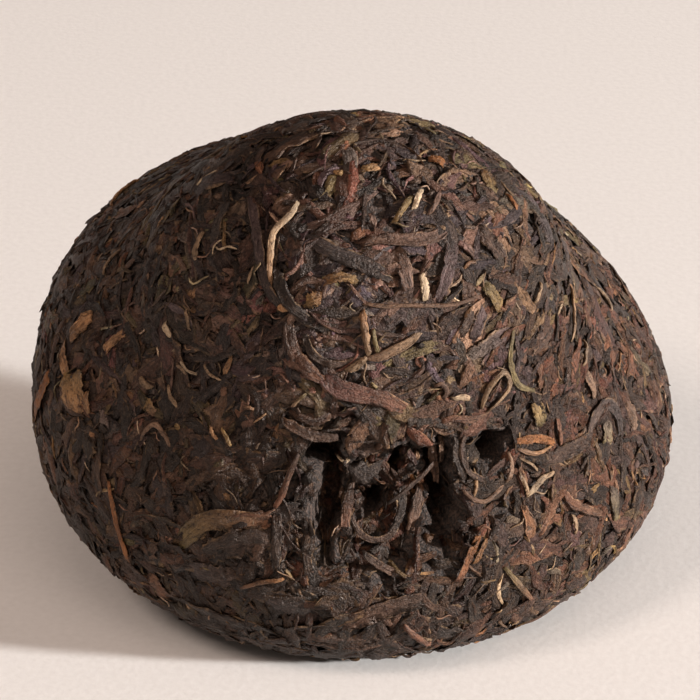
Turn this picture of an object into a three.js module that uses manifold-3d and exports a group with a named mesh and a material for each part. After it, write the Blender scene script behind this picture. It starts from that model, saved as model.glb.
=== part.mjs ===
// A pressed tea cake in the shape of a mushroom, lying on the dome of its cap with the stem up.
// The stem leans forwards and a little to the right. Leaves and twigs that stand out are part of the cake.
//
// Units are millimetres and degrees, +Z is up and -Y is the front.
// The origin is on the surface that the cake rests on, under the middle of its box.
import * as THREE from 'three';
import { mergeVertices } from 'three/addons/utils/BufferGeometryUtils.js';
import Module from 'manifold-3d';

const wasm = await Module();
wasm.setup();

// The cake's own frame has its origin in the middle of the cap's rim and +Z along the stem.
const cap = {
  radius: 45, // of the rim, where the cap is widest
  flankHeight: 31, // the flanks, if they ran up to the axis without the stem
  domeDepth: 21.2, // from the rim down to the middle of the dome
  oval: 0.03, // the rim is this much wider one way and narrower the other
  ovalTurn: 13,
  domeFullness: 2.27, // 2 is an ellipse, more is fuller
  flankFullness: 2.24,
  flankBias: 0.7, // the left flank is fuller by this, the right one straighter
  flankBiasTurn: -10,
};
// The stem is a short thick mound, wider from left to right by `widen`, round a line from foot to end.
const stem = { radius: 22.7, widen: 1.25, foot: 9, end: { x: -1, y: -7, z: 32.1 }, blend: 16.5 };

const leanForward = 18.3;
const leanRight = 3.8;
// The rim's middle above the surface: low enough to press a small flat spot on the dome.
const rimMiddle = { x: -0.3, y: 0.3, height: 23 };

const bodyDetail = 12; // subdivisions of the icosahedron
const lumps = { height: 0.35, spacing: 7 };

const looseLeaves = {
  count: 112,
  seed: 11,
  length: [5.5, 14],
  width: [1.6, 3.2],
  thickness: [1.3, 1.7],
  bend: 0.22, // sideways, as a share of the length
  twist: 70, // from end to end
  jitter: { azimuth: 8, down: 3 },
  clearOfHollows: 3,
  clearOfRest: 4,
};
const strandSides = 4;
const strandRings = 4;
const strandLift = 0.15; // of its thickness, so that a little more than half of it shows

const degrees = THREE.MathUtils.degToRad;
const hub = new THREE.Vector3(0, 0, 6); // every ray from here meets the surface once
const farthest = 80;

// A direction from the hub: azimuth from +X towards +Y, and the angle down from the stem's axis.
function direction(azimuth, down) {
  const level = Math.sin(degrees(down));
  const height = Math.cos(degrees(down));
  return new THREE.Vector3(level * Math.cos(degrees(azimuth)), level * Math.sin(degrees(azimuth)), height);
}

// Two signed distances joined with a fillet of about the size `blend`.
function smoothMin(a, b, blend) {
  const share = THREE.MathUtils.clamp(0.5 + (0.5 * (b - a)) / blend, 0, 1);
  return b * (1 - share) + a * share - blend * share * (1 - share);
}

const stemEnd = new THREE.Vector3(stem.end.x, stem.end.y, stem.end.z);
const stemLine = new THREE.Line3(new THREE.Vector3(0, 0, stem.foot), stemEnd);

// Negative inside the smooth cake, positive outside.
function cakeField(point) {
  const radius = Math.hypot(point.x, point.y);
  const azimuth = Math.atan2(point.y, point.x);
  const rim = cap.radius * (1 + cap.oval * Math.cos(2 * (azimuth - degrees(cap.ovalTurn))));
  const above = point.z > 0;
  const height = above ? cap.flankHeight : cap.domeDepth;
  const bias = cap.flankBias * Math.cos(azimuth - degrees(cap.flankBiasTurn));
  const power = above ? cap.flankFullness - bias : cap.domeFullness;
  const reach = ((radius / rim) ** power + (Math.abs(point.z) / height) ** power) ** (1 / power);
  const away = stemLine.closestPointToPoint(point, true, new THREE.Vector3()).sub(point);
  const stemReach = Math.hypot(away.x / stem.widen, away.y, away.z);
  return smoothMin((reach - 1) * cap.flankHeight, stemReach - stem.radius, stem.blend);
}

// Where a ray from the hub leaves the smooth cake.
function surfaceAlong(ray) {
  let near = 0;
  let far = farthest;
  const point = new THREE.Vector3();
  for (let halving = 0; halving < 24; halving += 1) {
    const middle = (near + far) / 2;
    point.copy(hub).addScaledVector(ray, middle);
    if (cakeField(point) < 0) near = middle;
    else far = middle;
  }
  return point.copy(hub).addScaledVector(ray, (near + far) / 2);
}

// The same surface seen from a point near it.
function surfaceUnder(point) {
  return surfaceAlong(point.clone().sub(hub).normalize());
}

function outward(point) {
  const step = 0.05;
  const slope = ['x', 'y', 'z'].map((axis) => {
    const ahead = point.clone();
    const behind = point.clone();
    ahead[axis] += step;
    behind[axis] -= step;
    return cakeField(ahead) - cakeField(behind);
  });
  return new THREE.Vector3(...slope).normalize();
}

// Low uneven lumps, as packed leaves leave under a pressing cloth.
function lumpAt(point) {
  const turn = (2 * Math.PI) / lumps.spacing;
  const { x, y, z } = point;
  const first = Math.sin(x * turn + 1.3 * Math.sin(y * turn * 0.6)) * Math.cos(z * turn * 0.9 + x * 0.2);
  const second = Math.sin(y * turn * 1.1 + 2 + 1.1 * Math.cos(z * turn * 0.7)) * Math.cos(x * turn * 0.5 + 1);
  return lumps.height * (first + second);
}

// Moves every vertex of a closed geometry and keeps only its place.
function shaped(geometry, place) {
  geometry.deleteAttribute('normal');
  geometry.deleteAttribute('uv');
  const positions = geometry.attributes.position;
  const vertex = new THREE.Vector3();
  for (let index = 0; index < positions.count; index += 1) {
    const moved = place(vertex.fromBufferAttribute(positions, index));
    positions.setXYZ(index, moved.x, moved.y, moved.z);
  }
  return mergeVertices(geometry, 1e-5);
}

function solid(geometry) {
  return new wasm.Manifold(new wasm.Mesh({
    numProp: 3,
    vertProperties: new Float32Array(geometry.attributes.position.array),
    triVerts: new Uint32Array(geometry.index.array),
  }));
}

function pressedBody() {
  return shaped(new THREE.IcosahedronGeometry(1, bodyDetail), (unit) => {
    const ray = unit.clone().normalize();
    const point = surfaceAlong(ray);
    return point.addScaledVector(ray, lumpAt(point));
  });
}

// A hollow left by a fold of the cloth round the neck: half sizes across, along the slope and into the cake.
function hollow({ azimuth, down, across, along, deep }) {
  const middle = surfaceAlong(direction(azimuth, down));
  const normal = outward(middle);
  const side = new THREE.Vector3(0, 0, 1).cross(normal).normalize();
  const slope = normal.clone().cross(side);
  return shaped(new THREE.SphereGeometry(1, 10, 7), (unit) => middle.clone()
    .addScaledVector(side, unit.x * across)
    .addScaledVector(slope, unit.y * along)
    .addScaledVector(normal, unit.z * deep));
}

// A leaf or twig with pointed ends, bent over the surface along a route of points.
function strand({ points, width, thickness, twist = 0, rings = strandRings, lift = strandLift }) {
  const line = new THREE.CatmullRomCurve3(points);
  return shaped(new THREE.SphereGeometry(1, strandSides, rings), (unit) => {
    const share = THREE.MathUtils.clamp((unit.y + 1) / 2, 0, 1);
    const middle = surfaceUnder(line.getPoint(share));
    const normal = outward(middle);
    const ahead = line.getTangent(share);
    const side = ahead.clone().cross(normal).normalize();
    const turn = degrees(twist) * (share - 0.5);
    const across = (unit.x * Math.cos(turn) - unit.z * Math.sin(turn)) * (width / 2);
    const up = (unit.x * Math.sin(turn) + unit.z * Math.cos(turn)) * (thickness / 2) + lift * thickness;
    return middle.addScaledVector(side, across).addScaledVector(normal, up);
  });
}

function pointsOn(route) {
  return route.map(([azimuth, down]) => surfaceAlong(direction(azimuth, down)));
}

// Random numbers that are the same on every run.
function seededRandom(seed) {
  let state = seed;
  return () => {
    state = (state * 1664525 + 1013904223) % 4294967296;
    return state / 4294967296;
  };
}

// The hollows under the stem: one broad and shallow, with the deep folds inside it.
const neckHollows = [
  { azimuth: -85, down: 71.5, across: 10.5, along: 10.5, deep: 3.6 },
  { azimuth: -96, down: 72, across: 2.2, along: 8.8, deep: 7 },
  { azimuth: -98, down: 60.6, across: 2.4, along: 2.8, deep: 5 },
  { azimuth: -86.5, down: 72.2, across: 1.9, along: 3.6, deep: 8 },
  { azimuth: -81.4, down: 63.5, across: 1.7, along: 2.4, deep: 6 },
  { azimuth: -71, down: 72.8, across: 2.1, along: 8.8, deep: 10.5 },
  { azimuth: -58, down: 63.5, across: 2.3, along: 2.6, deep: 7.5 },
];
// The crease down the left side of the stem.
const stemCreases = [
  { azimuth: -133, down: 29, across: 2.2, along: 7, deep: 2 },
  { azimuth: -118.5, down: 37, across: 2, along: 6, deep: 1.5 },
];

// The leaves and twigs that stand out, each with its route as azimuth and angle down from the stem's axis.
const broadLeaf = { width: 5.2, thickness: 1.8 };
const leaf = { width: 3.4, thickness: 1.5 };
const blade = { width: 2.2, thickness: 1.4 };
const twig = { width: 1.5, thickness: 1.5 };
// A ridge of leaves between two folds, on the floor of the broad hollow.
const foldRidge = { width: 3, thickness: 3, lift: -0.95 };
const standingOut = [
  {
    ...leaf,
    rings: 7,
    route: [[-111, 38.3], [-106.6, 43], [-101.3, 45.8], [-92.8, 47.3], [-86.6, 48.4], [-79.3, 51.6]],
  },
  { ...twig, rings: 6, route: [[-126, 20.9], [-124.5, 26.5], [-124, 30.1], [-118, 35.7]] },
  { ...twig, route: [[-92.3, 34.4], [-90, 38.3], [-90.4, 40.9]] },
  { ...twig, route: [[-89.5, 39.7], [-83.2, 40.2], [-76.3, 37.8]] },
  { ...twig, rings: 7, route: [[-58, 53], [-54.6, 52.8], [-55, 49.8], [-57.6, 49.4]] },
  { ...broadLeaf, rings: 6, route: [[-122.8, 85.7], [-118.3, 81], [-111.6, 77.8], [-105, 76.2]] },
  { ...broadLeaf, route: [[-158, 76.7], [-154.6, 73.6], [-152, 69.2]] },
  { ...broadLeaf, route: [[-24.4, 82.6], [-25.2, 77.7], [-27.7, 71.8]] },
  { ...leaf, route: [[-43, 81.7], [-39, 85.6], [-35, 90.2]] },
  { ...twig, route: [[-52.5, 72.7], [-52, 77.1], [-49.8, 77.5]] },
  { ...twig, route: [[-51.2, 77.5], [-48, 76.4], [-44.8, 75.7]] },
  { ...blade, route: [[-68.7, 86.5], [-67, 83.9], [-65, 81.5]] },
  { ...twig, rings: 6, route: [[-104, 61.8], [-106, 66.5], [-105.5, 70.7], [-110, 74.2], [-116, 77.5]] },
  { ...leaf, rings: 6, route: [[-89.5, 94.8], [-82.3, 92.7], [-75.7, 90.2]] },
  { ...blade, route: [[-60.3, 88.4], [-57.3, 93], [-55, 97.5]] },
  { ...foldRidge, route: [[-90.5, 65.5], [-91, 72.3], [-91.5, 78.6]] },
  { ...foldRidge, route: [[-77.4, 69.8], [-76.8, 75.4], [-78.3, 80.4]] },
];

// Loose leaves lie spread evenly over the cake by the golden angle, each turned and bent at random.
function spreadLeaves() {
  const random = seededRandom(looseLeaves.seed);
  const between = (low, high) => low + (high - low) * random();
  const within = (most) => between(-most, most);
  const goldenAngle = 180 * (3 - Math.sqrt(5));
  return Array.from({ length: looseLeaves.count }, (_, index) => {
    const level = 1 - (2 * (index + 0.5)) / looseLeaves.count;
    const azimuth = index * goldenAngle + within(looseLeaves.jitter.azimuth);
    const down = THREE.MathUtils.radToDeg(Math.acos(level)) + within(looseLeaves.jitter.down);
    const middle = surfaceAlong(direction(azimuth, down));
    const normal = outward(middle);
    const heading = new THREE.Vector3(within(1), within(1), within(1));
    const ahead = heading.addScaledVector(normal, -heading.dot(normal)).normalize();
    const length = between(...looseLeaves.length);
    const bend = within(looseLeaves.bend) * length;
    const ends = [-length / 2, length / 2].map((share) => middle.clone().addScaledVector(ahead, share));
    middle.addScaledVector(ahead.clone().cross(normal), bend);
    return {
      points: [ends[0], middle, ends[1]].map(surfaceUnder),
      width: between(...looseLeaves.width),
      thickness: between(...looseLeaves.thickness),
      twist: within(looseLeaves.twist),
    };
  });
}

// From the cake's own frame to its place on the surface.
const standing = new THREE.Matrix4()
  .makeTranslation(rimMiddle.x, rimMiddle.y, rimMiddle.height)
  .multiply(new THREE.Matrix4().makeRotationY(degrees(leanRight)))
  .multiply(new THREE.Matrix4().makeRotationX(degrees(leanForward)));

// Loose leaves keep clear of the hollows and of the flat spot that the cake rests on.
function keepsClear({ points }) {
  return points.every((point) => {
    const high = point.clone().applyMatrix4(standing).z > looseLeaves.clearOfRest;
    return high && neckHollows.every(({ azimuth, down, across, along }) => {
      const reach = Math.max(across, along) + looseLeaves.clearOfHollows;
      return surfaceAlong(direction(azimuth, down)).distanceTo(point) > reach;
    });
  });
}

function teaCake() {
  const strands = [
    ...standingOut.map((piece) => ({ ...piece, points: pointsOn(piece.route) })),
    ...spreadLeaves().filter(keepsClear),
  ];
  const carved = [...neckHollows, ...stemCreases]
    .reduce((cake, size) => cake.subtract(solid(hollow(size))), solid(pressedBody()));
  const dressed = strands.reduce((cake, piece) => cake.add(solid(strand(piece))), carved);
  const placed = shaped(geometryOf(dressed), (point) => point.clone().applyMatrix4(standing));
  const underneath = new THREE.BoxGeometry(3 * farthest, 3 * farthest, farthest);
  const block = shaped(underneath, (corner) => corner.clone().setZ(corner.z - farthest / 2));
  return geometryOf(solid(placed).subtract(solid(block)));
}

function geometryOf(manifold) {
  const { vertProperties, triVerts } = manifold.getMesh();
  const geometry = new THREE.BufferGeometry();
  geometry.setAttribute('position', new THREE.BufferAttribute(new Float32Array(vertProperties), 3));
  geometry.setIndex(new THREE.BufferAttribute(new Uint32Array(triVerts), 1));
  geometry.computeVertexNormals();
  return geometry;
}

const tea = new THREE.Mesh(
  teaCake(),
  new THREE.MeshStandardMaterial({ color: '#3a2a22', roughness: 0.72, metalness: 0 }),
);
tea.name = 'tuocha';

const cake = new THREE.Group();
cake.add(tea);

export default cake;
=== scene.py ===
"""A pressed tea cake in the shape of a mushroom, lying on the dome of its cap with the stem up.

A carved core carries thousands of pressed leaves, bits and stalks, each a small closed mesh at its true size.
Lengths are in millimetres in the cake's own frame, whose origin is the middle of the cap's rim, with +Z along
the stem. They become metres in the part's frame when a mesh is made.
"""
import math

import bmesh
import bpy
import numpy as np
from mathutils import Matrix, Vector


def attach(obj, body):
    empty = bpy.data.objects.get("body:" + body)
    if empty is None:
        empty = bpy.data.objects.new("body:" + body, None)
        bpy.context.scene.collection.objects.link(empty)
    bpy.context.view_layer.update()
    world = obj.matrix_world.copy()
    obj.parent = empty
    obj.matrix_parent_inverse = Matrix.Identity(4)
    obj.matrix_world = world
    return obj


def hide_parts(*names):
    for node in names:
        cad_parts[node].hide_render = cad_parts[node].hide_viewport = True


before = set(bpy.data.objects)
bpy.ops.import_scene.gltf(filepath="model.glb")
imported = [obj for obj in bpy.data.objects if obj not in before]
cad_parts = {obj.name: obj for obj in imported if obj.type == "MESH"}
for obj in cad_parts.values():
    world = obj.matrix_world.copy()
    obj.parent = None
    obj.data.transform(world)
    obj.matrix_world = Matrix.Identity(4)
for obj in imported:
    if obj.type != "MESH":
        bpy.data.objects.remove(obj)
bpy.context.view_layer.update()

MM = 0.001

# ---------------------------------------------------------------- sizes of the cake, as in the solid model
CAP_RADIUS = 45.0
FLANK_HEIGHT = 31.0
DOME_DEPTH = 21.2
RIM_OVAL = 0.03
RIM_OVAL_TURN = math.radians(13)
DOME_FULLNESS = 2.27
FLANK_FULLNESS = 2.24
FLANK_BIAS = 0.7
FLANK_BIAS_TURN = math.radians(-10)
STEM_RADIUS = 22.7
STEM_WIDEN = np.array((1.25, 1.0, 1.0))
STEM_FOOT = np.array((0.0, 0.0, 9.0))
STEM_END = np.array((-1.0, -7.0, 32.1))
STEM_BLEND = 16.5
LEAN_FORWARD = math.radians(18.3)
LEAN_RIGHT = math.radians(3.8)
RIM_MIDDLE = np.array((-0.3, 0.3, 23.0))
HUB = np.array((0.0, 0.0, 6.0))  # every ray from here meets the surface once
FARTHEST = 80.0
HALVINGS = 18  # of the search between the hub and the farthest

# The hollows under the stem, close to those of the solid model: where each lies on the cake, its half sizes
# across and along the slope, and its depth. The first is broad and shallow. Of the six deep folds, five are
# inside it or at its edge, and the last is beside it. After them come two grooves on the left.
HOLLOWS = [
    dict(azimuth=-85, down=71.5, across=10.7, along=10.3, deep=3.2),
    dict(azimuth=-96, down=72, across=2.2, along=8.8, deep=6.5),
    dict(azimuth=-98, down=60.6, across=2.5, along=2.8, deep=6.5),
    dict(azimuth=-86.5, down=72.2, across=1.9, along=3.7, deep=8.5),
    dict(azimuth=-81.4, down=63.5, across=1.7, along=2.5, deep=6.5),
    dict(azimuth=-71, down=72.8, across=2.1, along=9.0, deep=10.5),
    dict(azimuth=-58, down=63.5, across=2.3, along=2.6, deep=8.0),
    dict(azimuth=-133, down=29, across=2.0, along=7.5, deep=1.2),
    dict(azimuth=-118.5, down=37, across=1.8, along=6, deep=1.0),
]
HOLLOW_RAGGED = 0.2  # how far its edge wanders, as a share of its size
HOLLOW_WALL = (0.55, 1.12)  # the foot and the top of its wall, as shares of its size

# ---------------------------------------------------------------- camera and the photograph's frame
PHOTO_SIDE = 700
CAMERA_ELEVATION = math.radians(28)
CAMERA_DISTANCE = 524.0
MM_PER_PIXEL = 0.1456  # at the middle of the rim
RIM_MIDDLE_PIXEL = np.array((354.3, 400.9))
SENSOR = 36.0
NEAREST_SEEN, FARTHEST_SEEN = 0.02, 20  # metres

RIGHT = np.array((1.0, 0.0, 0.0))
UP = np.array((0.0, math.sin(CAMERA_ELEVATION), math.cos(CAMERA_ELEVATION)))
TOWARDS_CAMERA = np.array((0.0, -math.cos(CAMERA_ELEVATION), math.sin(CAMERA_ELEVATION)))
EYE = RIM_MIDDLE + TOWARDS_CAMERA * CAMERA_DISTANCE


def in_view_plane(pixels):
    """The points, in the part's frame, that lie behind pixels on the plane through the rim's middle."""
    offset = (np.atleast_2d(pixels) - RIM_MIDDLE_PIXEL) * MM_PER_PIXEL
    return RIM_MIDDLE + offset[:, :1] * RIGHT - offset[:, 1:] * UP


def add_object(name, data):
    made = bpy.data.objects.new(name, data)
    bpy.context.collection.objects.link(made)
    return made


def mesh_of(name, shape):
    """A mesh made of a bmesh, which is freed."""
    data = bpy.data.meshes.new(name)
    shape.to_mesh(data)
    shape.free()
    return data


def make_camera():
    aim = in_view_plane((PHOTO_SIDE / 2, PHOTO_SIDE / 2))[0]
    data = bpy.data.cameras.new("photo_camera")
    camera = add_object("photo_camera", data)
    data.sensor_width = SENSOR
    data.lens = SENSOR * np.linalg.norm(aim - EYE) / (PHOTO_SIDE * MM_PER_PIXEL)
    data.clip_start, data.clip_end = NEAREST_SEEN, FARTHEST_SEEN
    camera.location = Vector(EYE * MM)
    camera.rotation_euler = Vector(aim - EYE).to_track_quat("-Z", "Y").to_euler()
    bpy.context.scene.camera = camera


# ---------------------------------------------------------------- node helpers
def add_node(tree, kind, inputs=None, **settings):
    """A new node, with its inputs linked where they are sockets and set where they are values."""
    made = tree.nodes.new(kind)
    for name, value in settings.items():
        setattr(made, name, value)
    for name, value in (inputs or {}).items():
        if isinstance(value, bpy.types.NodeSocket):
            tree.links.new(value, made.inputs[name])
        else:
            made.inputs[name].default_value = value
    return made


def maths(tree, operation, first, second=0.0):
    return add_node(tree, "ShaderNodeMath", {0: first, 1: second}, operation=operation).outputs[0]


def mix_colours(tree, share, first, second, blend="MIX"):
    inputs = {0: share, 6: first, 7: second}
    return add_node(tree, "ShaderNodeMix", inputs, data_type="RGBA", blend_type=blend).outputs[2]


def lay(tree, colour, mask, share, over):
    """A colour with another laid over it where a mask says, up to a share of it."""
    return mix_colours(tree, maths(tree, "MULTIPLY", mask, share), colour, over)


def shaded(tree, colour, shade):
    return mix_colours(tree, 1.0, colour, shade, "MULTIPLY")


def ramp(tree, value, low, high, to_low=0.0, to_high=1.0):
    inputs = {0: value, 1: low, 2: high, 3: to_low, 4: to_high}
    return add_node(tree, "ShaderNodeMapRange", inputs, interpolation_type="SMOOTHSTEP").outputs[0]


def new_group(name, inputs, outputs):
    group = bpy.data.node_groups.new(name, "ShaderNodeTree")
    for socket, (kind, value) in inputs.items():
        made = group.interface.new_socket(socket, in_out="INPUT", socket_type="NodeSocket" + kind)
        if value is not None:
            made.default_value = value
    for socket, kind in outputs.items():
        group.interface.new_socket(socket, in_out="OUTPUT", socket_type="NodeSocket" + kind)
    return group, group.nodes.new("NodeGroupInput"), group.nodes.new("NodeGroupOutput")


def new_material(name):
    material = bpy.data.materials.new(name)
    material.use_nodes = True
    tree = material.node_tree
    return material, tree, tree.nodes["Principled BSDF"]


def raise_bumps(tree, surface, height, distance, strength=1.0):
    """Bumps from a height that changes over the surface, each as deep as a distance in millimetres."""
    inputs = {"Height": height, "Strength": strength, "Distance": distance * MM}
    bump = add_node(tree, "ShaderNodeBump", inputs)
    tree.links.new(bump.outputs["Normal"], surface.inputs["Normal"])


# ---------------------------------------------------------------- shared effects
def make_leaf_grain():
    """Wrinkles along a leaf, its fibres and folds, blotches of drying, and how near a long edge is."""
    group, given, out = new_group(
        "leaf_grain",
        {"Grain": ("Vector", None), "Across": ("Float", 0.0), "Fineness": ("Float", 1.0)},
        dict.fromkeys(("Wrinkles", "Fibres", "Folds", "Blotches", "Edge"), "Float"),
    )
    grain, fine = given.outputs["Grain"], given.outputs["Fineness"]

    def stretched_noise(stretch, **settings):
        drawn_out = add_node(group, "ShaderNodeVectorMath", {0: grain, 1: stretch}, operation="MULTIPLY")
        inputs = {"Vector": drawn_out.outputs[0], **settings}
        return add_node(group, "ShaderNodeTexNoise", inputs).outputs["Fac"]

    wrinkles = stretched_noise((0.4, 1.9, 1.0), Scale=fine, Detail=4.0, Roughness=0.62, Distortion=0.9)
    fibres = stretched_noise((0.5, 6.0, 1.0), Scale=fine, Detail=2.0, Roughness=0.5, Distortion=0.2)
    blotches = stretched_noise((0.5, 0.7, 1.0), Scale=0.9, Detail=3.0, Roughness=0.6)
    bends = stretched_noise((0.55, 1.6, 1.0), Scale=fine, Detail=1.5, Roughness=0.5, Distortion=1.4)
    folds = ramp(group, maths(group, "ABSOLUTE", maths(group, "SUBTRACT", bends, 0.5)), 0.035, 0.0)
    edge = ramp(group, maths(group, "ABSOLUTE", given.outputs["Across"]), 0.7, 1.0)
    found = {"Wrinkles": wrinkles, "Fibres": fibres, "Folds": folds, "Blotches": blotches, "Edge": edge}
    for name, value in found.items():
        group.links.new(value, out.inputs[name])
    return group


def make_crumple():
    """The crumpling and the fine tea dust that pressing leaves over everything, whatever lies under it."""
    inputs, outputs = {"Scale": ("Float", 2200.0)}, {"Crumple": "Float", "Dust": "Float"}
    group, given, out = new_group("pressed_crumple", inputs, outputs)
    place = add_node(group, "ShaderNodeTexCoord").outputs["Object"]
    noise = {"Vector": place, "Detail": 3.0, "Roughness": 0.6, "Distortion": 0.6}
    crumple = add_node(group, "ShaderNodeTexNoise", {**noise, "Scale": given.outputs["Scale"]}).outputs["Fac"]
    patches = add_node(group, "ShaderNodeTexNoise", {**noise, "Scale": 90.0}).outputs["Fac"]
    specks = add_node(group, "ShaderNodeTexNoise", {**noise, "Scale": 2100.0}).outputs["Fac"]
    dust = maths(group, "MULTIPLY", ramp(group, patches, 0.42, 0.68), ramp(group, specks, 0.56, 0.74))
    group.links.new(crumple, out.inputs["Crumple"])
    group.links.new(dust, out.inputs["Dust"])
    return group


LEAF_GRAIN = make_leaf_grain()
CRUMPLE = make_crumple()

# What a leaf's own colour is mixed with or multiplied by, how much of each shows, and its faint warm shine.
DAMP_BLOTCH = (0.6, 0.57, 0.55, 1)
DRY_BLOTCH = (1.35, 1.3, 1.27, 1)
# A pale colour laid on the fibres as wear, and on wrinkles and folds partly as wear and partly as a painted
# highlight on their ridges.
WEAR_AND_RIDGE_HIGHLIGHT = (0.3, 0.175, 0.1, 1)
WEAR_AND_HIGHLIGHT_SHARE = 0.18
WRINKLES_WEAR_AND_HIGHLIGHT = 0.5
FOLDS_WEAR_AND_HIGHLIGHT = 0.55
EDGE = (0.3, 0.18, 0.09, 1)
DUST = (0.24, 0.155, 0.105, 1)
DUST_SHARE = 0.22
# Painted shade: what a leaf's creases are multiplied by.
PAINTED_CREASE_SHADE = (0.3, 0.27, 0.26, 1)
# Painted shade: what leaves that lie deep under others are multiplied by.
PAINTED_DEPTH_SHADE = (0.4, 0.36, 0.34, 1)
SHINE = 0.4
SHINE_TINT = (1.0, 0.84, 0.75, 1)


def leaf_material(name, fineness, pale_edge, fibre, relief, roughness, crumpling):
    """A dry leaf in the colour that its own attribute gives, with painted shade in its creases and where it
    lies deep, paler on its wrinkles and folds, partly wear and partly a painted highlight, and along a dry
    edge."""
    material, tree, surface = new_material(name)

    def read(attribute):
        return add_node(tree, "ShaderNodeAttribute", attribute_name=attribute).outputs

    effect = add_node(tree, "ShaderNodeGroup", node_tree=LEAF_GRAIN)
    tree.links.new(read("grain")["Vector"], effect.inputs["Grain"])
    tree.links.new(read("across")["Fac"], effect.inputs["Across"])
    effect.inputs["Fineness"].default_value = fineness
    wrinkles, fibres, folds = effect.outputs["Wrinkles"], effect.outputs["Fibres"], effect.outputs["Folds"]
    blotches, edge = effect.outputs["Blotches"], effect.outputs["Edge"]
    pressed = add_node(tree, "ShaderNodeGroup", node_tree=CRUMPLE)
    crumple, dust = pressed.outputs["Crumple"], pressed.outputs["Dust"]

    blotched = mix_colours(tree, ramp(tree, blotches, 0.34, 0.66), DAMP_BLOTCH, DRY_BLOTCH)
    colour = shaded(tree, read("tint")["Color"], blotched)
    lifted = add_node(tree, "ShaderNodeGamma", {"Color": colour, "Gamma": 0.7}).outputs["Color"]
    # Paler colour for the wrinkles' ridges, the fibres and the folds below: wear on the fibres, and partly
    # wear, partly a painted highlight on the wrinkles and folds.
    wear_and_highlight = mix_colours(tree, WEAR_AND_HIGHLIGHT_SHARE, lifted, WEAR_AND_RIDGE_HIGHLIGHT)
    colour = lay(tree, colour, ramp(tree, wrinkles, 0.54, 0.7), WRINKLES_WEAR_AND_HIGHLIGHT, wear_and_highlight)
    colour = lay(tree, colour, ramp(tree, fibres, 0.56, 0.72), fibre, wear_and_highlight)
    colour = lay(tree, colour, folds, FOLDS_WEAR_AND_HIGHLIGHT, wear_and_highlight)
    dry_edge = maths(tree, "MULTIPLY", edge, ramp(tree, blotches, 0.47, 0.6))
    colour = lay(tree, colour, dry_edge, pale_edge, EDGE)
    colour = lay(tree, colour, dust, DUST_SHARE, DUST)
    # Painted shade in the hollows of the wrinkles and of the crumpling.
    painted_crease_shade = shaded(tree, colour, PAINTED_CREASE_SHADE)
    colour = mix_colours(tree, ramp(tree, wrinkles, 0.48, 0.32), colour, painted_crease_shade)
    most = min(crumpling + 0.2, 1.0)
    colour = mix_colours(tree, ramp(tree, crumple, 0.47, 0.33, 0.0, most), colour, painted_crease_shade)
    # Painted shade where a leaf lies deep under the others, read from its level.
    deep = shaded(tree, colour, PAINTED_DEPTH_SHADE)
    colour = mix_colours(tree, ramp(tree, read("level")["Fac"], -0.05, -0.6), colour, deep)
    tree.links.new(colour, surface.inputs["Base Color"])
    rough = ramp(tree, blotches, 0.3, 0.7, roughness - 0.1, roughness + 0.14)
    tree.links.new(rough, surface.inputs["Roughness"])
    height = maths(tree, "ADD", wrinkles, maths(tree, "MULTIPLY", fibres, 0.3))
    height = maths(tree, "ADD", height, maths(tree, "MULTIPLY", crumple, crumpling))
    height = maths(tree, "ADD", height, maths(tree, "MULTIPLY", folds, 0.12))
    raise_bumps(tree, surface, height, relief)
    surface.inputs["Specular IOR Level"].default_value = SHINE
    surface.inputs["Specular Tint"].default_value = SHINE_TINT
    return material


PACKED_DARK = (0.011, 0.007, 0.005, 1)
PACKED_PALE = (0.07, 0.041, 0.028, 1)
PACKED_DUST = (0.16, 0.1, 0.065, 1)


def core_material():
    """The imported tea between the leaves: dark, matt and crumbly."""
    material, tree, surface = new_material("packed_tea")
    pressed = add_node(tree, "ShaderNodeGroup", node_tree=CRUMPLE)
    crumple, dust = pressed.outputs["Crumple"], pressed.outputs["Dust"]
    colour = mix_colours(tree, ramp(tree, crumple, 0.38, 0.66), PACKED_DARK, PACKED_PALE)
    colour = lay(tree, colour, dust, 0.5, PACKED_DUST)
    tree.links.new(colour, surface.inputs["Base Color"])
    tree.links.new(ramp(tree, crumple, 0.3, 0.7, 0.85, 0.6), surface.inputs["Roughness"])
    raise_bumps(tree, surface, crumple, 0.8)
    return material


# ---------------------------------------------------------------- floor and light
FLOOR_REACH = 2.5  # metres from its middle to its edge
FLOOR_COLOURS = (0.79, 0.765, 0.74, 1), (0.91, 0.885, 0.86, 1)
LIGHTS_AIM = Vector((0, 0, 0.03))  # metres
KEY_COLOUR = (1.0, 0.98, 0.965)
FILL_COLOUR = (1.0, 0.82, 0.72)
WORLD_COLOUR = (1.0, 0.82, 0.725)


def make_floor():
    shape = bmesh.new()
    bmesh.ops.create_grid(shape, x_segments=1, y_segments=1, size=FLOOR_REACH)
    floor = add_object("floor", mesh_of("floor", shape))
    material, tree, surface = new_material("pale_floor")
    place = add_node(tree, "ShaderNodeTexCoord").outputs["Object"]
    inputs = {"Vector": place, "Scale": 900.0, "Detail": 4.0}
    weave = add_node(tree, "ShaderNodeTexNoise", inputs).outputs["Fac"]
    tree.links.new(mix_colours(tree, weave, *FLOOR_COLOURS), surface.inputs["Base Color"])
    surface.inputs["Roughness"].default_value = 0.9
    raise_bumps(tree, surface, weave, 0.2, strength=0.15)
    floor.data.materials.append(material)


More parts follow.
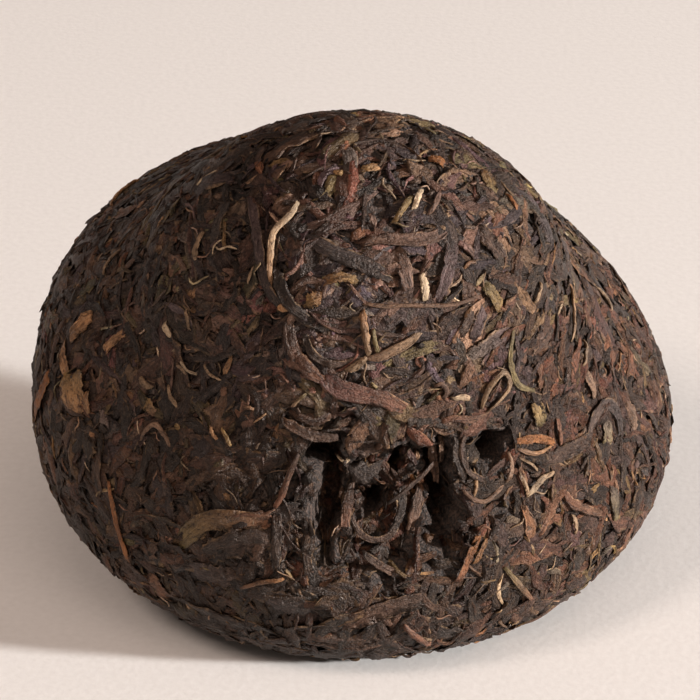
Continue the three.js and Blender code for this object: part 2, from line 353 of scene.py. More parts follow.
def make_light(name, azimuth, elevation, distance, size, power, colour):
    """A square soft light. Azimuth 0 is where the camera stands and 90 is to its right."""
    side, level = math.sin(math.radians(azimuth)), math.cos(math.radians(azimuth))
    flat = math.cos(math.radians(elevation))
    way = Vector((side * flat, -level * flat, math.sin(math.radians(elevation))))
    data = bpy.data.lights.new(name, "AREA")
    data.energy, data.size, data.color = power, size, colour
    light = add_object(name, data)
    light.location = way * distance + LIGHTS_AIM
    light.rotation_euler = way.to_track_quat("Z", "Y").to_euler()


def make_world(colour, strength):
    world = bpy.data.worlds.new("studio")
    world.use_nodes = True
    background = world.node_tree.nodes["Background"]
    background.inputs["Color"].default_value = (*colour, 1)
    background.inputs["Strength"].default_value = strength
    bpy.context.scene.world = world


# ---------------------------------------------------------------- the cake's surface
def turn_matrix():
    forward, right = LEAN_FORWARD, LEAN_RIGHT
    about_x = np.array([
        (1, 0, 0),
        (0, math.cos(forward), -math.sin(forward)),
        (0, math.sin(forward), math.cos(forward)),
    ])
    about_y = np.array([
        (math.cos(right), 0, math.sin(right)),
        (0, 1, 0),
        (-math.sin(right), 0, math.cos(right)),
    ])
    return about_y @ about_x


TURN = turn_matrix()


def stand(points):
    """From the cake's own frame to the part's frame."""
    return points @ TURN.T + RIM_MIDDLE


def unit(vectors):
    return vectors / np.maximum(np.linalg.norm(vectors, axis=-1, keepdims=True), 1e-9)


def direction(azimuth, down):
    """The way from the hub at an azimuth round the cake's axis and an angle down from it, in degrees."""
    azimuth, down = np.radians(azimuth), np.radians(down)
    return np.stack([np.sin(down) * np.cos(azimuth), np.sin(down) * np.sin(azimuth), np.cos(down)], axis=-1)


def smooth_cake(points):
    """Negative inside the smooth cake, positive outside."""
    x, y, z = points[..., 0], points[..., 1], points[..., 2]
    azimuth = np.arctan2(y, x)
    rim = CAP_RADIUS * (1 + RIM_OVAL * np.cos(2 * (azimuth - RIM_OVAL_TURN)))
    above = z > 0
    height = np.where(above, FLANK_HEIGHT, DOME_DEPTH)
    bias = FLANK_BIAS * np.cos(azimuth - FLANK_BIAS_TURN)
    power = np.where(above, FLANK_FULLNESS - bias, DOME_FULLNESS)
    reach = ((np.hypot(x, y) / rim) ** power + (np.abs(z) / height) ** power) ** (1 / power)
    cap = (reach - 1) * FLANK_HEIGHT
    line = STEM_END - STEM_FOOT
    away = points - STEM_FOOT
    away = away - np.clip(away @ line / (line @ line), 0, 1)[..., None] * line
    stem = np.linalg.norm(away / STEM_WIDEN, axis=-1) - STEM_RADIUS
    blend = np.clip(0.5 + 0.5 * (stem - cap) / STEM_BLEND, 0, 1)
    return stem * (1 - blend) + cap * blend - STEM_BLEND * blend * (1 - blend)


def smooth_radius(rays):
    near, far = np.zeros(rays.shape[:-1]), np.full(rays.shape[:-1], FARTHEST)
    for _ in range(HALVINGS):
        middle = (near + far) / 2
        inside = smooth_cake(HUB + rays * middle[..., None]) < 0
        near, far = np.where(inside, middle, near), np.where(inside, far, middle)
    return (near + far) / 2


def waves(points, wavelength, seed):
    """Smooth noise of about -1 to 1: the sum of plane waves in random directions."""
    random = np.random.default_rng(seed)
    total = np.zeros(points.shape[:-1])
    count = 9
    for _ in range(count):
        way = unit(random.normal(size=3)) * 2 * math.pi / (wavelength * random.uniform(0.7, 1.5))
        total += np.sin(points @ way + random.uniform(0, 2 * math.pi))
    return total / math.sqrt(count)


def smoothstep(value, low, high):
    share = np.clip((value - low) / (high - low), 0, 1)
    return share * share * (3 - 2 * share)


def hollow_frames():
    for size in HOLLOWS:
        ray = direction(size["azimuth"], size["down"])
        middle = HUB + ray * smooth_radius(ray)
        side = unit(np.cross((0, 0, 1), ray))
        yield size, middle, side, np.cross(ray, side)


HOLLOW_FRAMES = list(hollow_frames())
ASLANT = (0.31, 0.17, 0.93)  # any way will do that no ray follows exactly
NORMAL_STEP = 0.007  # radians between the rays that a normal is found from
SIGHT_REACH = 70.0  # how far before and behind the middle a line of sight is searched
SIGHT_STEP = 0.5


def hollow_depth(points):
    """How deep the surface is carved at points of the smooth cake."""
    ragged = 1 + HOLLOW_RAGGED * waves(points, 4.5, seed=5)
    ragged = ragged + 0.6 * HOLLOW_RAGGED * waves(points, 1.6, seed=6)
    depth = np.zeros(points.shape[:-1])
    for size, middle, side, slope in HOLLOW_FRAMES:
        away = points - middle
        reach = np.hypot(away @ side / size["across"], away @ slope / size["along"]) * ragged
        depth = np.maximum(depth, size["deep"] * (1 - smoothstep(reach, *HOLLOW_WALL)))
    return depth


def skin(rays, carved=True):
    """The cake's surface on rays from the hub, with its hollows carved or still smooth."""
    points = HUB + rays * smooth_radius(rays)[..., None]
    return points - rays * hollow_depth(points)[..., None] if carved else points


def skin_under(points, carved=True):
    """The cake's surface on the rays through points, and its outward normals."""
    rays = unit(points - HUB)
    across = unit(np.cross(rays, ASLANT))
    along = np.cross(rays, across)
    here = skin(rays, carved)
    ahead = skin(unit(rays + NORMAL_STEP * along), carved) - here
    beside = skin(unit(rays + NORMAL_STEP * across), carved) - here
    normals = unit(np.cross(ahead, beside))
    facing = np.sign(np.sum(normals * rays, axis=-1, keepdims=True))
    return here, normals * np.where(facing == 0, 1, facing)


def behind_pixels(pixels):
    """The points of the smooth cake behind pixels of the photograph, in the cake's own frame."""
    start = (EYE - RIM_MIDDLE) @ TURN
    ahead = unit((in_view_plane(pixels) - EYE) @ TURN)
    distances = np.arange(CAMERA_DISTANCE - SIGHT_REACH, CAMERA_DISTANCE + SIGHT_REACH, SIGHT_STEP)
    fields = smooth_cake(start + ahead[:, None] * distances[:, None])
    first = np.argmax(fields < 0, axis=1)
    missed = ~(fields < 0).any(axis=1)
    first[missed] = np.argmin(fields[missed], axis=1)
    return start + ahead * distances[first][:, None]


# ---------------------------------------------------------------- meshes
def finish_piece(data, name, material):
    piece = add_object(name, data)
    data.materials.append(material)
    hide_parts("tuocha")
    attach(piece, "root")


def rested(points):
    """Metres in the part's frame, with nothing under the surface that the cake rests on."""
    placed = stand(points) * MM
    placed[..., 2] = np.maximum(placed[..., 2], 0)
    return placed


CORE_SINK = 0.4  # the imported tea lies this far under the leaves' level
CORE_RELIEF = (0.2, 0.16)  # its coarse and fine lumps
CORE_DETAIL = 7  # how often its ball of triangles is divided
FOLDS_MIDDLE = Vector(direction(-82, 70))  # round this its triangles are divided once more
FOLDS_REACH = math.radians(31)
CRUMPLE_RELIEF = (0.08, 0.05)  # coarse and fine crumpling of every leaf
END_RAGGED = 2.5  # a leaf's ends are this much more ragged than its sides
UNEVEN_LIMITS = (0.5, 1.6)  # of a leaf's width at a ring, as shares of its even width
FOLD_DRIFT = 1.3  # how much a leaf's folds wander across it from the middle to a tip


def make_core():
    shape = bmesh.new()
    bmesh.ops.create_icosphere(shape, subdivisions=CORE_DETAIL, radius=1.0)
    near_folds = math.cos(FOLDS_REACH)
    close = [
        edge for edge in shape.edges
        if all(vertex.co.normalized().dot(FOLDS_MIDDLE) > near_folds for vertex in edge.verts)
    ]
    bmesh.ops.subdivide_edges(shape, edges=close, cuts=1, use_grid_fill=True)
    bmesh.ops.triangulate(shape, faces=shape.faces[:])
    data = mesh_of("core", shape)
    rays = np.empty(len(data.vertices) * 3)
    data.vertices.foreach_get("co", rays)
    rays = unit(rays.reshape(-1, 3))
    points = skin(rays)
    coarse, fine = CORE_RELIEF
    relief = coarse * waves(points, 2.6, seed=31) + fine * waves(points, 1.2, seed=32) - CORE_SINK
    data.vertices.foreach_set("co", rested(points + rays * relief[:, None]).ravel())
    data.update()
    for polygon in data.polygons:
        polygon.use_smooth = True
    finish_piece(data, "tea_core", core_material())


def strand_template(rings, sides):
    """A closed tube of unit size: its ring numbers, its angles round the tube, and its faces.

    One side in each ring is the keel underneath, and the rest are spread over the top, where they show.
    """
    shape = bmesh.new()
    bmesh.ops.create_cone(shape, cap_ends=True, segments=sides, radius1=1, radius2=1, depth=1)
    lengthwise = [edge for edge in shape.edges if abs(edge.verts[0].co.z - edge.verts[1].co.z) > 0.5]
    bmesh.ops.subdivide_edges(shape, edges=lengthwise, cuts=rings - 2)
    shape.verts.ensure_lookup_table()
    places = np.array([vertex.co[:] for vertex in shape.verts])
    faces = [[vertex.index for vertex in face.verts] for face in shape.faces]
    shape.free()
    ring = np.rint((places[:, 2] + 0.5) * (rings - 1)).astype(int)
    turn = np.rint(np.arctan2(places[:, 1], places[:, 0]) / (2 * math.pi / sides)).astype(int) % sides
    angle = np.append(np.linspace(0, math.pi, sides - 1), -math.pi / 2)[turn]
    return ring, angle, faces


def joined_mesh(name, points, faces, attributes):
    """One mesh of many copies of a template: points is copies x vertices x 3."""
    copies, each = points.shape[:2]
    sizes = np.array([len(face) for face in faces])
    corners = np.concatenate(faces)
    data = bpy.data.meshes.new(name)
    data.vertices.add(copies * each)
    data.vertices.foreach_set("co", rested(points).ravel())
    data.loops.add(copies * len(corners))
    shifted = (corners[None] + np.arange(copies)[:, None] * each).ravel()
    data.loops.foreach_set("vertex_index", shifted)
    data.polygons.add(copies * len(sizes))
    starts = np.concatenate([[0], np.cumsum(np.tile(sizes, copies))[:-1]])
    data.polygons.foreach_set("loop_start", starts)
    data.polygons.foreach_set("use_smooth", np.ones(copies * len(sizes), bool))
    for label, (kind, field, values) in attributes.items():
        attribute = data.attributes.new(label, kind, "POINT")
        attribute.data.foreach_set(field, values.astype(np.float32).ravel())
    data.update(calc_edges=True)
    data.validate()
    return data


def tapered(rings, blunt):
    """Half width along a leaf, from nearly 0 at each tip to 1, and blunter for a smaller power."""
    share = np.linspace(0.03, 0.97, rings)
    return np.sin(math.pi * share) ** blunt


def make_strands(name, material, middles, normals, sides, shape, random):
    """Leaves laid along middles, which is copies x rings x 3. Each measure in shape has one value a copy."""
    copies, rings = middles.shape[:2]
    ring, angle, faces = strand_template(rings, sides)
    each = len(ring)

    def of(measure):
        return shape[measure][:, None]

    ahead = unit(np.gradient(middles, axis=1))
    side = unit(np.cross(ahead, normals))
    normals = np.cross(side, ahead)
    steps = np.linalg.norm(np.diff(middles, axis=1), axis=2)
    run = np.concatenate([np.zeros((copies, 1)), np.cumsum(steps, axis=1)], axis=1)
    share = np.linspace(-1, 1, rings)
    taper = np.stack([tapered(rings, blunt) for blunt in shape["blunt"]])
    uneven = np.clip(1 + of("uneven") * random.normal(size=(copies, rings)), *UNEVEN_LIMITS)
    half_width = of("width") / 2 * taper * uneven
    half_thick = of("thickness") / 2 * np.sqrt(taper)
    twist = np.radians(of("roll") + of("twist") * share / 2)
    height = of("lift") + of("arch") * (1 - share**2) - of("dive") * share**4 + of("pitch") * share

    across, up = np.cos(angle), np.sin(angle)
    top = up > -0.5
    x = half_width[:, ring] * across * (1 + of("ragged") * random.normal(size=(copies, each)))
    z = half_thick[:, ring] * (up + of("ragged") * random.normal(size=(copies, each)))
    folds = np.sin(across * of("folds") + of("phase") + share[ring] * FOLD_DRIFT * of("wobble"))
    z = z + top * of("ridge") * folds * taper[:, ring] + of("curl") * half_width[:, ring] * (across**2 - 0.4)
    turned_x = x * np.cos(twist[:, ring]) - z * np.sin(twist[:, ring])
    turned_z = x * np.sin(twist[:, ring]) + z * np.cos(twist[:, ring]) + height[:, ring]
    end_shift = of("slant") * across + END_RAGGED * of("ragged") * random.normal(size=(copies, each))
    slant = share[ring] ** 8 * end_shift * of("width") / 2
    points = middles[:, ring] + side[:, ring] * turned_x[..., None] + ahead[:, ring] * slant[..., None]
    coarse, fine = CRUMPLE_RELIEF
    crumpled = turned_z + coarse * waves(points, 1.7, seed=41) + fine * waves(points, 0.8, seed=42)
    points = points + normals[:, ring] * crumpled[..., None]

    offset = random.uniform(0, 300, size=(copies, 1))  # every leaf has its own part of the grain
    grain = np.stack([
        run[:, ring] + offset,
        across * of("width") / 2 + offset,
        np.broadcast_to(offset * 0.37, (copies, each)),
    ], axis=-1)
    blend = ((share[ring] + 1) / 2)[None, :, None]
    tint = shape["tint"][:, None] * (1 - blend) + shape["tip_tint"][:, None] * blend
    attributes = {
        "grain": ("FLOAT_VECTOR", "vector", grain),
        "across": ("FLOAT", "value", np.broadcast_to(across, (copies, each))),
        # how high the leaf lies, which the leaf material darkens as painted shade where it is low
        "level": ("FLOAT", "value", turned_z + of("shown")),
        "tint": ("FLOAT_COLOR", "color", np.concatenate([tint, np.ones((copies, each, 1))], axis=2)),
    }
    finish_piece(joined_mesh(name, points, faces, attributes), name, material)


# ---------------------------------------------------------------- scattered leaves
COLOURS = {
    "black": (0.021, 0.0155, 0.0135),
    "slate": (0.052, 0.041, 0.041),
    "dark": (0.05, 0.0275, 0.019),
    "brown": (0.115, 0.059, 0.036),
    "light": (0.195, 0.114, 0.07),
    "purple": (0.075, 0.046, 0.046),
    "wine": (0.11, 0.048, 0.042),
    "red_brown": (0.15, 0.06, 0.032),
    "russet": (0.16, 0.08, 0.046),
    "rosy": (0.17, 0.1, 0.076),
    "olive": (0.14, 0.105, 0.042),
    "ochre": (0.28, 0.17, 0.062),
    "tan": (0.27, 0.175, 0.1),
    "cream": (0.52, 0.39, 0.25),
    "orange": (0.24, 0.11, 0.042),
    "rust": (0.28, 0.105, 0.032),
    "flake": (0.42, 0.22, 0.1),
    "grey": (0.15, 0.112, 0.088),
}

START_CLEARANCE = 0.4  # leaves spread over the cake have their middles at least this far over the floor
FLOOR_CLEARANCE = 0.15  # no scattered leaf's middle line comes nearer to the floor than this
MOST_STRETCH = 1.9  # a leaf is left out where a hollow would stretch a part of it more than this
STEM_TOP = (38, 58)  # degrees from the axis between which leaves turn from round the stem to down its slope
CANDIDATES = 6  # even directions for each leaf that is spread over the cake
FOLDS_AIM = direction(-80, 70)
FOLDS_SPREAD = 0.33  # of the directions of leaves round it, before those outside the hollows are left out
FILLED_DEPTH = (2.6, 6.0)  # from a depth between these on, leaves lie in the hollows


def spread_rays(count, random):
    """Directions from the hub that spread evenly over the cake's surface."""
    dense = count * CANDIDATES
    level = 1 - 2 * (np.arange(dense) + 0.5) / dense
    azimuth = np.arange(dense) * math.pi * (3 - math.sqrt(5))
    flat = np.sqrt(1 - level**2)
    rays = unit(np.stack([flat * np.cos(azimuth), flat * np.sin(azimuth), level], axis=-1))
    points, normals = skin_under(HUB + rays, carved=False)
    area = np.linalg.norm(points - HUB, axis=1) ** 2 / np.sum(rays * normals, axis=1).clip(0.3)
    area = area * (stand(points)[:, 2] > START_CLEARANCE)
    edges = np.cumsum(area) / area.sum()
    chosen = np.searchsorted(edges, (np.arange(count) + random.uniform(0.1, 0.9, count)) / count)
    return rays[chosen]


def hollow_rays(count, random):
    """Directions from the hub into the hollows, more of them where these are deep."""
    rays = unit(FOLDS_AIM + FOLDS_SPREAD * random.normal(size=(count * 20, 3)))
    depth = hollow_depth(HUB + rays * smooth_radius(rays)[:, None])
    return rays[depth > random.uniform(*FILLED_DEPTH, len(rays))][:count]


def headings(points, normals, random, scatter):
    """Which way each leaf lies: round the stem near its end, down the slope elsewhere, with random turns."""
    down_slope = unit(np.cross(np.cross(normals, (0.0, 0.0, 1.0)), normals) + 1e-6)
    round_stem = np.cross(normals, down_slope)
    near_end = 1 - smoothstep(np.degrees(np.arccos(unit(points - HUB)[:, 2])), *STEM_TOP)
    turn = near_end * math.pi / 2 + np.radians(scatter) * random.normal(size=len(points))
    return np.cos(turn)[:, None] * down_slope + np.sin(turn)[:, None] * round_stem


# Where the leaves' colours are multiplied by place: paler and bluer at the stem's end and warmer in the
# hollows;
# darker left of the hollows, at the right, low in front and on the left side, which is painted shade, the
# right one also warmer as a painted warm reflection. For each place: its middle, how far it reaches in
# degrees, and what its leaves' colours are multiplied by.
PAINTED_LIGHT_AND_TONE_SPOTS = [
    dict(azimuth=-100, down=28, reach=26, factor=(1.18, 1.16, 1.34)),
    dict(azimuth=-80, down=70, reach=20, factor=(1.0, 0.88, 0.78)),
    dict(azimuth=-112, down=62, reach=20, factor=(0.85, 0.85, 0.85)),
    dict(azimuth=-20, down=78, reach=45, factor=(0.65, 0.46, 0.37)),
    dict(azimuth=-95, down=96, reach=42, factor=(0.38, 0.28, 0.21)),
    dict(azimuth=-170, down=80, reach=75, factor=(0.55, 0.52, 0.52)),
]
PLAIN_TONE = 0.64
PLACED_TONE = 0.72
SPOT_FADE = (0.35, 1.3)  # where a place's effect starts to fade and where it ends, as shares of its reach
TONE_DRIFT = 0.12  # how much paler or darker wide patches are, whatever the place
TINT_LIMITS = (-1.8, 1.5)  # of a leaf's strength of colour, in spreads of its kind
HUE_SPREAD = 0.06  # of each of its red, green and blue


def tone_and_painted_light_at(points, painted_light_share):
    """What leaves' colours at points are multiplied by, with a share of each place's change, painted shade
    among it.
    """
    tone = np.exp(TONE_DRIFT * waves(points, 17.0, seed=61))[:, None]
    rays = unit(points - HUB)
    for spot in PAINTED_LIGHT_AND_TONE_SPOTS:
        away = np.degrees(np.arccos(np.clip(rays @ direction(spot["azimuth"], spot["down"]), -1, 1)))
        share = 1 - smoothstep(away, *(fade * spot["reach"] for fade in SPOT_FADE))
        # Each place's change, painted shade where it darkens, at the share asked for.
        tone = tone * np.array(spot["factor"]) ** (painted_light_share * share[:, None])
    return PLAIN_TONE * tone


def pick_tints(count, palette, random, spread):
    names, weights = list(palette), np.array(list(palette.values()))
    chosen = random.choice(len(names), size=count, p=weights / sum(palette.values()))
    base = np.array([COLOURS[name] for name in names])[chosen]
    strength = np.exp(spread * random.normal(size=(count, 1)).clip(*TINT_LIMITS))
    return base * strength * (1 + HUE_SPREAD * random.normal(size=(count, 3)))


# What all scattered leaves share.
BLUNT = (0.2, 0.65)  # the lower, the blunter the tips
FOLDS = (2, 6)  # radians from a leaf's middle to its edge, for the waves of its lengthwise folds
CURL = 0.12  # spread of how much the long edges curl
ARCH = 0.1  # how high the middle bows up, at most
DIVE = 0.35  # how deep the tips are pressed into the tea, at most
PITCH = 0.08  # spread of how much a leaf tips forward
SLANT = 0.7  # how obliquely the ends are broken, at most
RAGGED = 0.12  # spread of how far single points stray
TIP_SPREAD = 0.25  # spread of how much paler or darker one tip is than the other


def scatter_strands(name, material, count, seed, rings, sides, palette, length, width, thickness, lift,
                    scatter=60, bend=0.25, wander=0.05, uneven=0.14, twist=26, roll=8, ridge=0.08,
                    spread=0.34, share_of_painted_light=1.0, in_hollows=False):
    """Loose leaves of one kind all over the cake, or only in its hollows, with sizes drawn from ranges."""
    random = np.random.default_rng(seed)
    rays = hollow_rays(count, random) if in_hollows else spread_rays(count, random)
    start, up = skin_under(HUB + rays)
    count = len(start)

    def between(low, high):
        return random.uniform(low, high, count)

    def around(spread_of_measure):
        return spread_of_measure * random.normal(size=count)

    ahead = unit(headings(start, up, random, scatter))
    aside = np.cross(up, ahead)
    lengths = between(*length)
    share = np.linspace(-1, 1, rings)
    sway = (bend * random.normal(size=(count, 1))) * (1 - share**2)
    sway = sway + wander * random.normal(size=(count, 1)) * np.sin(math.pi * (share + between(0, 2)[:, None]))
    line = start[:, None] + ahead[:, None] * (lengths[:, None, None] / 2 * share[:, None])
    line = line + aside[:, None] * (lengths[:, None] * sway)[..., None] / 2
    if in_hollows:
        middles, normals = line, np.broadcast_to(up[:, None], line.shape)
        good = np.full(count, True)
    else:
        middles, normals = skin_under(line)
        steps = np.linalg.norm(np.diff(middles, axis=1), axis=2)
        good = steps.max(axis=1) < MOST_STRETCH * lengths / (rings - 1)
    good = good & (stand(middles)[..., 2].min(axis=1) > FLOOR_CLEARANCE)
    # The leaves' tints take on each place's change, painted shade where a place darkens them, at the share
    # given.
    tint = pick_tints(count, palette, random, spread) * tone_and_painted_light_at(start, share_of_painted_light)
    shape = {
        "width": between(*width), "thickness": between(*thickness), "lift": between(*lift),
        "blunt": between(*BLUNT), "uneven": between(0.4 * uneven, uneven), "twist": around(twist),
        "roll": around(roll), "ridge": between(0.3 * ridge, ridge), "folds": between(*FOLDS),
        "phase": between(0, 2 * math.pi), "wobble": around(1), "curl": around(CURL), "arch": between(0, ARCH),
        "dive": between(0.4 * DIVE, DIVE), "pitch": around(PITCH), "slant": between(-SLANT, SLANT),
        "tint": tint, "tip_tint": tint * np.exp(TIP_SPREAD * random.normal(size=(count, 1))),
        "shown": np.zeros(count), "ragged": np.full(count, RAGGED),
    }
    shape = {key: values[good] for key, values in shape.items()}
    make_strands(name, material, middles[good], normals[good], sides, shape, random)


# ---------------------------------------------------------------- placed leaves and stalks
# Each has its colour, or those of its start and end, its route in pixels of the photograph, its width and
# thickness, how far its middle lies over the smooth surface, and how much its long edges curl up.
PLACED_STALKS = [
    ("cream to orange", [(298, 202), (290, 216), (274, 233), (271, 256), (270, 271), (274, 297)],
     0.95, 0.7, 0.45, 0),
    ("cream", [(421, 275), (424, 287), (425, 301)], 1.1, 0.8, 0.5, 0),
    ("orange to tan", [(362, 312), (364, 325), (366, 340), (369, 356)], 1.1, 0.6, 0.5, 0),
    ("light to tan", [(366, 360), (380, 357), (394, 350), (408, 343), (420, 333)], 1.3, 0.7, 0.5, 0.1),
    ("tan", [(346, 371), (356, 366), (368, 357)], 0.99, 0.7, 0.4, 0),
    ("olive", [(373, 330), (375, 343), (379, 355)], 0.63, 0.5, 0.45, 0),
    ("tan", [(481, 409), (484, 397), (491, 383), (502, 372), (507, 383), (500, 397), (487, 412)],
     0.72, 0.7, 0.6, 0),
    ("red_brown to brown", [(487, 402), (492, 391), (501, 380)], 0.45, 0.4, 0.5, 0),
    ("tan", [(519, 473), (524, 486), (527, 494)], 0.72, 0.6, 0.5, 0),
    ("cream to tan", [(526, 495), (532, 487), (541, 478), (551, 471)], 0.9, 0.7, 0.5, 0),
    ("cream to tan", [(452, 399), (461, 397), (470, 399)], 0.9, 0.4, 0.4, 0),
    ("brown to dark", [(434, 388), (441, 384), (446, 391), (443, 399)], 0.72, 0.5, 0.4, 0),
    ("orange to brown", [(463, 270), (468, 264), (477, 263)], 0.54, 0.4, 0.4, 0),
    ("tan", [(539, 283), (537, 293), (534, 304)], 0.72, 0.5, 0.45, 0),
    ("tan", [(203, 232), (199, 247), (195, 263)], 0.81, 0.5, 0.45, 0),
    ("cream", [(214, 246), (221, 251), (228, 247), (237, 250)], 0.32, 0.3, 0.4, 0),
    ("cream", [(212, 256), (216, 247), (222, 240)], 0.27, 0.3, 0.4, 0),
    ("ochre to olive", [(394, 223), (404, 208), (412, 196)], 0.9, 0.6, 0.4, 0),
    ("cream", [(421, 190), (417, 199), (414, 209)], 0.9, 0.6, 0.5, 0),
    ("rosy to brown", [(440, 192), (436, 202), (428, 216)], 0.81, 0.6, 0.4, 0),
    ("light to brown", [(363, 304), (385, 307), (408, 306), (430, 306), (455, 305), (479, 297)],
     0.63, 0.6, 0.35, 0),
    ("rust", [(111, 480), (115, 497), (119, 518), (124, 540), (131, 563)], 0.81, 0.6, 0.45, 0),
    ("tan", [(104, 275), (113, 262), (122, 250)], 0.81, 0.5, 0.45, 0),
    ("flake", [(112, 207), (126, 192), (140, 181)], 0.9, 0.6, 0.45, 0),
    ("dark to red_brown", [(299, 453), (289, 475), (282, 495), (275, 507)], 0.9, 0.6, 0.5, 0),
    ("russet to red_brown", [(276, 508), (262, 514), (246, 513), (226, 516)], 0.54, 0.4, 0.5, 0),
    ("olive to red_brown", [(504, 566), (517, 582), (531, 598)], 0.9, 0.7, 0.45, 0),
    ("brown to orange", [(241, 587), (262, 580), (285, 577)], 0.72, 0.5, 0.4, 0),
    ("ochre to orange", [(406, 570), (420, 571), (434, 573)], 0.45, 0.4, -0.1, 0),
    ("olive", [(512, 331), (509, 350), (509, 368), (517, 385), (533, 391)], 0.9, 0.7, 0.5, 0),
    ("rust", [(506, 194), (511, 202), (516, 211)], 0.72, 0.5, 0.4, 0),
    ("orange to tan", [(567, 283), (570, 310), (571, 342)], 0.68, 0.5, 0.5, 0),
    ("tan", [(594, 287), (602, 298), (610, 311)], 0.81, 0.6, 0.5, 0),
    ("tan", [(582, 340), (583, 352), (581, 366)], 0.81, 0.5, 0.45, 0),
    ("dark to black", [(434, 463), (412, 483), (388, 503)], 0.81, 0.8, -1.4, 0),
    ("cream", [(337, 456), (345, 461), (350, 458), (357, 457)], 0.54, 0.4, -2, 0),
    ("brown to light", [(462, 488), (470, 497), (482, 500), (493, 493), (504, 484)], 0.63, 0.5, 0.3, 0),
    ("light", [(508, 452), (509, 466), (507, 482)], 0.72, 0.6, 0.45, 0),
    ("tan", [(570, 512), (572, 522), (573, 532)], 0.72, 0.5, 0.45, 0),
    ("red_brown", [(404, 625), (416, 634), (430, 643)], 0.99, 0.7, 0.4, 0),
    ("light to flake", [(517, 448), (532, 452), (550, 446)], 0.72, 0.6, 0.5, 0),
    ("tan", [(520, 458), (529, 463), (537, 470)], 0.45, 0.4, 0.4, 0),
    ("cream", [(166, 322), (169, 330), (172, 338)], 0.81, 0.5, 0.5, 0),
    ("tan", [(177, 364), (183, 369), (188, 375)], 0.54, 0.4, 0.5, 0),
    ("tan", [(169, 385), (173, 396), (178, 409)], 0.54, 0.4, 0.35, 0),
    ("tan", [(205, 365), (211, 373), (222, 381)], 0.45, 0.4, 0.5, 0),
    ("tan", [(248, 285), (251, 276), (254, 268)], 0.45, 0.4, 0.5, 0),
    ("light", [(141, 441), (148, 430), (157, 424), (166, 434), (171, 447)], 0.8, 0.5, 0.45, 0),
    ("cream", [(181, 361), (188, 370), (197, 375)], 0.45, 0.4, 0.5, 0),
    ("tan", [(141, 377), (147, 385), (152, 388)], 0.9, 0.5, 0.45, 0),
    ("ochre", [(222, 428), (228, 437), (231, 446)], 0.6, 0.4, 0.45, 0),
    ("tan", [(187, 310), (190, 320), (191, 331)], 0.5, 0.4, 0.45, 0),
    ("flake", [(212, 425), (214, 433), (219, 441)], 0.54, 0.4, 0.4, 0),
    ("brown to orange", [(243, 409), (249, 407), (256, 410)], 0.63, 0.4, 0.4, 0),
    ("light to olive", [(292, 408), (299, 400), (307, 394)], 0.54, 0.4, 0.4, 0),
]
